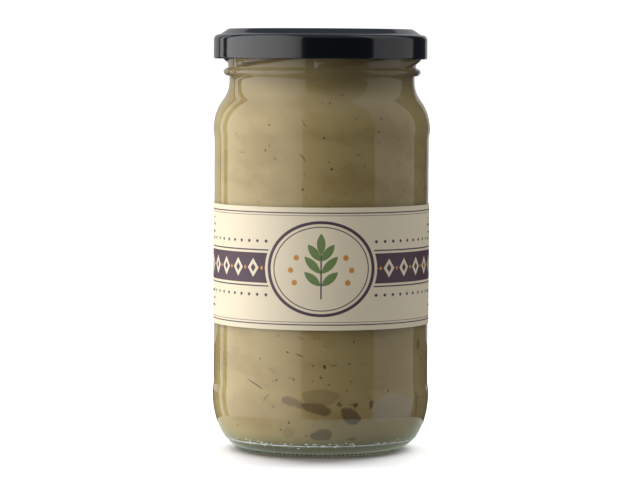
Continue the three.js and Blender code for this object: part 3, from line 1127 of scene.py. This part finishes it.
class JAR_OT_glass(bpy.types.Operator):
    """Build the clear glass jar"""

    bl_idname = "jar.build_glass"
    bl_label = "Build glass"

    def execute(self, context):
        settings = context.scene.jar_glass
        piece = build_glass_mesh(settings)
        # Lamps reach the puree straight through the glass, so it doesn't bend what the puree throws back.
        piece.visible_diffuse = False
        dress(piece, clear_glass(settings), "clear_glass", "glass_jar")
        # Painted highlights: the mould ring and marks get a pale glass finish that stands for glints on the
        # heel.
        painted_glints = glass_edge("glass_painted_glint", (0.72, 0.76, 0.76), (0.95, 0.95, 0.98), 0.25)
        dress(build_mould_ring(settings), painted_glints, "clear_glass")
        draw = np.random.default_rng(MARK_SEED)
        turn = draw.uniform(-np.pi, np.pi, MOULD_MARKS)
        height = draw.normal(PARTING_HEIGHT + MARK_LIFT, MARK_SCATTER, MOULD_MARKS)
        size = settings.mark * draw.uniform(1.4, 3.2, MOULD_MARKS)
        marks = build_bumps("glass_mould_marks", turn, height, size * 1.5, size, size * 0.7)
        dress(marks, painted_glints, "clear_glass")
        turn = turns(settings.knurls)
        height = np.full(len(turn), RIB_HEIGHT)
        size = settings.mark * draw.uniform(2.0, 3.0, len(turn))
        # Painted shade: the foot's ribs get a dark glass finish that stands for light lost at the knurls.
        green = glass_edge("glass_painted_dark_edge", (0.02, 0.06, 0.045), (0.12, 0.22, 0.17), 0.1)
        ribs = build_bumps("glass_foot_ribs", turn, height, size * 1.7, size, size * 0.7)
        dress(ribs, green, "clear_glass")
        return {"FINISHED"}


class JAR_OT_lid(bpy.types.Operator):
    """Build the black twist-off lid"""

    bl_idname = "jar.build_lid"
    bl_label = "Build lid"

    def execute(self, context):
        settings = context.scene.jar_lid
        dress(build_lid_mesh(settings), black_lacquer(settings), "lid_paint", "lid")
        return {"FINISHED"}


class JAR_OT_label(bpy.types.Operator):
    """Build the paper label with its print"""

    bl_idname = "jar.build_label"
    bl_label = "Build label"

    def execute(self, context):
        settings = context.scene.jar_label
        dress(build_label_mesh(settings), printed_paper(settings), "label_paper", "paper_label")
        return {"FINISHED"}


class JAR_OT_puree(bpy.types.Operator):
    """Build the puree that fills the jar"""

    bl_idname = "jar.build_puree"
    bl_label = "Build puree"

    def execute(self, context):
        settings = context.scene.jar_puree
        piece = build_puree_mesh(settings, context.scene.jar_glass.wall)
        dress(piece, aubergine_puree(settings), "puree", "baba_ganoush")
        return {"FINISHED"}


class JAR_OT_inclusions(bpy.types.Operator):
    """Scatter specks of skin and fibres over the puree's side"""

    bl_idname = "jar.scatter_inclusions"
    bl_label = "Scatter specks and fibres"

    def execute(self, context):
        settings = context.scene.jar_puree
        reach, wall = settings.reach, context.scene.jar_glass.wall
        pockets = (*POCKETS, *hidden_pockets(settings.seed))
        draw = np.random.default_rng(settings.seed + 1)
        low, high = 7.0 * MM, NECK_FROM - 4.0 * MM

        turn, height = surface_spots(draw, settings.specks, low, high, pockets, FRONT_SPECKS)
        count, given = len(turn), len(FRONT_SPECKS)
        length = 0.25 * MM + 0.5 * MM * draw.uniform(0, 1, count) ** 4
        length[:given] = draw.uniform(0.5, 0.8, given) * MM
        length[LARGE_SPECK] = 1.3 * MM
        width = length * draw.uniform(0.5, 0.9, count)
        thick = np.full(count, 0.22 * MM)
        lean = draw.uniform(0, np.pi, count)
        grains = build_grains("aubergine_skin_specks", reach, wall, turn, height, lean, length, width, thick)
        skin = mottled("charred_skin", (0.042, 0.027, 0.012), (0.12, 0.078, 0.03), 0.4 * MM, 0.5)
        dress(grains, skin, "puree")

        turn, height = surface_spots(draw, settings.fibres, low, high, pockets, FRONT_FIBRES)
        count = len(turn)
        length = draw.uniform(1.6, 4.2, count) * MM
        length[:2] = 6.4 * MM, 2.2 * MM
        thick = draw.uniform(0.12, 0.24, count) * MM
        thick[:2] = 0.4 * MM
        lean = draw.uniform(-0.9, 0.9, count)
        lean[:2] = -0.44, -0.4
        bend = draw.uniform(-0.5, 0.5, count) * MM
        bend[:2] = 0.1 * MM
        fibres = build_fibres("smoked_fibres", reach, wall, turn, height, lean, length, thick, bend)
        flesh = mottled("smoked_fibre", (0.054, 0.034, 0.013), (0.144, 0.092, 0.038), 0.6 * MM, 0.5)
        dress(fibres, flesh, "puree")
        return {"FINISHED"}


def softbox(name, place, target, width, height, brightness, spread=180.0, mirrored_only=False):
    """A rectangular light at a place, facing a target, with a level upper edge. Its power is pi times its
    area and brightness; a spread under 180 degrees brightens its middle by tan / (tan - angle) of half the
    spread. A light that is mirrored only shows in gloss and glass, and lights nothing matt."""
    light = bpy.data.lights.new(name, "AREA")
    light.shape = "RECTANGLE"
    light.size, light.size_y = width, height
    half = math.radians(spread) / 2
    light.energy = brightness * math.pi * width * height * (1 - half / math.tan(half))
    light.spread = 2 * half
    lamp = bpy.data.objects.new(name, light)
    lamp.location = place
    lamp.rotation_mode = "QUATERNION"
    lamp.rotation_quaternion = (Vector(target) - Vector(place)).to_track_quat("-Z", "Y")
    lamp.visible_camera = False
    lamp.visible_diffuse = not mirrored_only
    bpy.context.scene.collection.objects.link(lamp)
    return lamp


def far_lamp(name, towards, width, strength):
    """A lamp as far off as the sun, in a direction from the jar, its disc width degrees wide."""
    light = bpy.data.lights.new(name, "SUN")
    light.energy = strength
    light.angle = math.radians(width)
    lamp = bpy.data.objects.new(name, light)
    lamp.rotation_mode = "QUATERNION"
    lamp.rotation_quaternion = Vector(towards).to_track_quat("Z", "Y")
    bpy.context.scene.collection.objects.link(lamp)
    return lamp


def add_camera(settings):
    """A camera in front of the jar at the label's side, level but for its pitch and a slight roll."""
    camera = bpy.data.cameras.new("camera")
    camera.lens = settings.lens
    camera.sensor_width = 36.0
    camera.clip_end = 50.0
    holder = bpy.data.objects.new("camera", camera)
    holder.location = (-settings.aside, -settings.distance, settings.eye)
    level = Quaternion((1, 0, 0), math.radians(90) - settings.pitch)
    holder.rotation_mode = "QUATERNION"
    holder.rotation_quaternion = level @ Quaternion((0, 0, 1), settings.roll)
    bpy.context.scene.collection.objects.link(holder)
    bpy.context.scene.camera = holder


def pale_floor(glow):
    """Matt white floor with a faint grain. Its glow stands for light thrown about under the jar."""
    shade = Shade("pale_floor")
    grain = shade.noise(shade.place(), 40 * MM, 3.0)
    return shade.finish(shade.principled({
        "Base Color": shade.mix(grain, (0.86, 0.86, 0.86), (0.9, 0.9, 0.9)),
        "Roughness": 0.8,
        "Specular IOR Level": 0.1,
        "Emission Color": (0.72, 1, 0.86, 1),
        "Emission Strength": glow,
    }))


def add_floor(name, radius):
    """A round floor of a radius."""
    turn = turns(64)
    points = round_points(np.full(len(turn), radius), np.zeros(len(turn)), turn)
    mesh = bpy.data.meshes.new(name)
    mesh.from_pydata(points.tolist(), [], [list(range(len(turn)))])
    floor = bpy.data.objects.new(name, mesh)
    bpy.context.scene.collection.objects.link(floor)
    return floor


def link_light(lamp, *objects, only=True):
    """Lets a lamp light these objects alone, or all but them. Everything still throws its shadow."""
    chosen = bpy.data.collections.new(lamp.name + "_link")
    for thing in objects:
        chosen.objects.link(thing)
    for member in chosen.collection_objects:
        member.light_linking.link_state = "INCLUDE" if only else "EXCLUDE"
    lamp.light_linking.receiver_collection = chosen


def white_surround(settings):
    """A white background that the camera sees, a paler one behind clear glass, one that brightens smoothly
    towards the zenith for gloss, and a dim even light for the rest."""
    shade = Shade("studio", "worlds")

    def light(colour, strength):
        return shade.node("ShaderNodeBackground", {}, {"Color": (*colour, 1), "Strength": strength})

    up = shade.axes(shade.node("ShaderNodeTexCoord", {}, {}, "Generated"))[2]
    sky = shade.node("ShaderNodeMapRange", {"interpolation_type": "SMOOTHSTEP"}, {
        "Value": up, "From Min": 0.25, "From Max": 0.95,
        "To Min": settings.ambient / 2, "To Max": settings.sky,
    })
    shown = light((0.9, 0.95, 1.0), settings.ambient)
    for ray, seen in (
        ("Is Glossy Ray", light((0.72, 0.84, 1), sky)),
        ("Is Transmission Ray", light((1, 1, 1), settings.behind)),
        ("Is Camera Ray", light((1, 1, 1), 1.1)),
    ):
        share = shade.node("ShaderNodeLightPath", {}, {}, ray)
        shown = shade.node("ShaderNodeMixShader", {}, {0: share, 1: shown, 2: seen})
    bpy.context.scene.world = shade.finish(shown)


class JAR_OT_stage(bpy.types.Operator):
    """Set up the camera, the floor and the soft studio lights"""

    bl_idname = "jar.set_stage"
    bl_label = "Set stage"

    def execute(self, context):
        settings = context.scene.jar_stage
        add_camera(settings)
        # The camera sees only the wide floor, and the glass the small one, as on a table among lights.
        wide = add_floor("studio_floor", 6.0)
        wide.visible_diffuse = wide.visible_glossy = wide.visible_transmission = wide.visible_shadow = False
        table = add_floor("studio_table", 0.06)
        table.location.z = -0.1 * MM
        table.visible_camera = table.visible_shadow = table.visible_diffuse = False
        wide.data.materials.append(pale_floor(0.0))
        table.data.materials.append(pale_floor(settings.table))
        white_surround(settings)
        # The left softbox hangs parallel to the view, so it fades towards the front by its own spread. It
        # goes on above and below, and the right one above, as panels that only gloss and glass show. Each is
        # doubled by a lamp just behind it that gloss doesn't show, because their diffusers throw more light
        # than they look bright.
        key, fill, gloss = settings.key, settings.fill, settings.gloss
        boxes = [
            softbox(name, (x, y, z), (0, y, z), width, height, brightness, spread, mirrored)
            for name, x, z, height, brightness, mirrored, (y, width, spread) in (
                ("key_left", -0.5, 0.11, 0.62, key * gloss, False, KEY_BOX),
                ("key_high", -0.5, 1.02, 1.2, key * gloss, True, KEY_BOX),
                ("key_low", -0.5, -0.5, 0.6, key * gloss, True, KEY_BOX),
                ("key_soft", -0.51, 0.11, 0.62, key * (1 - gloss), False, KEY_BOX),
                ("fill_right", 0.5, 0.2, 1.2, fill * gloss, False, FILL_BOX),
                ("fill_high", 0.5, 1.3, 1.0, fill * gloss, True, FILL_BOX),
                ("fill_soft", 0.51, 0.2, 1.2, fill * (1 - gloss), False, FILL_BOX),
            )
        ]
        boxes += (
            softbox("rim_left", (-0.453, 0.386, 0.12), (0, 0, 0.12), 0.091, 0.7, settings.rim),
            softbox("backdrop", (-0.15, 0.9, 0.4), (-0.15, 0, 0.4), 1.2, 0.9, settings.backdrop, 180, True),
            softbox("overhead", (0, -0.12, 1.0), (0, 0, 0.1), 0.9, 0.9, settings.overhead),
        )
        for box in boxes:
            box.visible_glossy = not box.name.endswith(("soft", "overhead"))
            if box.name != "overhead":
                link_light(box, wide, only=False)
        # Two lamps behind the jar make the floor white and leave the short shadow in front of it.
        for side, name in ((-1, "floor_left"), (1, "floor_right")):
            lamp = far_lamp(name, (0.66 * side, 0.866, 1), 43.6, settings.floor)
            lamp.data.cycles.use_multiple_importance_sampling = False
            link_light(lamp, wide)
        # The glass gathers light from the left onto the puree. This lamp stands for it.
        inside = [thing for thing in context.scene.objects if thing.get("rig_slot") == "puree"]
        link_light(far_lamp("puree_left", (-0.985, -0.17, 0.15), 30, settings.inner), *inside)
        context.scene.view_settings.view_transform = "Standard"
        context.scene.view_settings.look = "None"
        return {"FINISHED"}


class JAR_PT_panel(bpy.types.Panel):
    """Lists the pieces and the stage"""

    bl_idname = "JAR_PT_panel"
    bl_label = "Jar of baba ganoush"
    bl_space_type = "VIEW_3D"
    bl_region_type = "UI"
    bl_category = "Jar"

    def draw(self, context):
        for operator in OPERATORS:
            self.layout.operator(operator.bl_idname)
        for name in SETTINGS:
            group = getattr(context.scene, name)
            box = self.layout.box()
            box.label(text=group.bl_rna.name)
            for key in group.bl_rna.properties.keys():
                if key not in ("rna_type", "name"):
                    box.prop(group, key)


OPERATORS = (JAR_OT_glass, JAR_OT_lid, JAR_OT_label, JAR_OT_puree, JAR_OT_inclusions, JAR_OT_stage)
SETTINGS = {
    "jar_glass": GlassSettings,
    "jar_lid": LidSettings,
    "jar_label": LabelSettings,
    "jar_puree": PureeSettings,
    "jar_stage": StageSettings,
}


def register():
    for settings in SETTINGS.values():
        bpy.utils.register_class(settings)
    for name, settings in SETTINGS.items():
        setattr(bpy.types.Scene, name, PointerProperty(type=settings))
    for operator in OPERATORS:
        bpy.utils.register_class(operator)
    bpy.utils.register_class(JAR_PT_panel)


def unregister():
    bpy.utils.unregister_class(JAR_PT_panel)
    for operator in reversed(OPERATORS):
        bpy.utils.unregister_class(operator)
    for name, settings in SETTINGS.items():
        delattr(bpy.types.Scene, name)
        bpy.utils.unregister_class(settings)


def main():
    register()
    bpy.ops.jar.build_glass()
    bpy.ops.jar.build_lid()
    bpy.ops.jar.build_label()
    bpy.ops.jar.build_puree()
    bpy.ops.jar.scatter_inclusions()
    bpy.ops.jar.set_stage()


if __name__ == "__main__":
    main()
